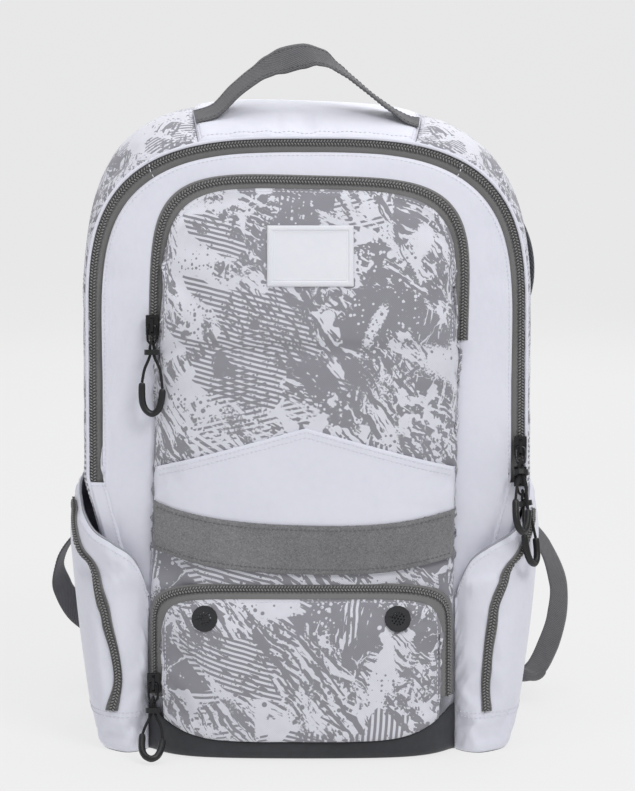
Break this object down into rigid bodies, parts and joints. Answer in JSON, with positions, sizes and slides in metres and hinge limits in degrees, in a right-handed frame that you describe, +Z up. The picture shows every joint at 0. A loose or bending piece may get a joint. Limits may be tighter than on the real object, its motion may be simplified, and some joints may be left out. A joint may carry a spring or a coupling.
{
  "type": "baseball bat backpack",
  "caption": "Baseball bat backpack with a white front pocket, a patterned body, a grey web handle, zipped bat sleeves on both sides and padded shoulder straps",
  "frame": {"origin": "Centre of the base on the floor it stands on; the front faces -Y and +Z is up", "axes": "X to the bag's left as seen from the front, Y from the front to the shoulder straps, Z up"},
  "size_m": [0.4229, 0.3103, 0.5341],
  "materials": {
    "white": "matte coated polyester",
    "print": "printed polyester twill",
    "charcoal": "coated heavy nylon",
    "mesh": "padded spacer mesh",
    "web": "ribbed polyester webbing",
    "tape": "woven zip tape",
    "coil": "nylon coil",
    "loop": "brushed loop pile",
    "label": "woven label, bare",
    "metal": "black enamel",
    "plastic": "moulded plastic and cord"
  },
  "bodies": {
    "root": {"top_gusset": "white", "front_panel": "white", "chevron_panel": "white", "sleeve_left": "white", "sleeve_right": "white", "gusset_left": "print", "gusset_right": "print", "upper_pocket": "print", "lower_pocket": "print", "back_panel": "mesh", "shoulder_pad_left": "mesh", "shoulder_pad_right": "mesh", "base": "charcoal", "handle": "web", "web_left": "web", "web_right": "web", "loop_tape": "loop", "label": "label", "vent_left": "plastic", "vent_right": "plastic", "ladder_lock_left": "plastic", "ladder_lock_right": "plastic", "upper_pull_cord": "plastic", "upper_pull_collar": "plastic", "upper_pull_grip": "plastic", "lower_pull_cord": "plastic", "lower_pull_collar": "plastic", "lower_pull_grip": "plastic", "main_pull_low_cord": "plastic", "main_pull_low_collar": "plastic", "main_pull_low_grip": "plastic", "main_pull_high_cord": "plastic", "main_pull_high_collar": "plastic", "main_pull_high_grip": "plastic", "main_zip_tape": "tape", "upper_zip_tape": "tape", "lower_zip_tape": "tape", "sleeve_zip_left_tape": "tape", "sleeve_zip_right_tape": "tape", "main_zip_coil": "coil", "upper_zip_coil": "coil", "lower_zip_coil": "coil", "sleeve_zip_left_coil": "coil", "sleeve_zip_right_coil": "coil", "upper_pull_slider": "metal", "upper_pull_link": "metal", "lower_pull_slider": "metal", "lower_pull_link": "metal", "main_pull_low_slider": "metal", "main_pull_low_link": "metal", "main_pull_high_slider": "metal", "main_pull_high_link": "metal"}
  },
  "joints": []
}
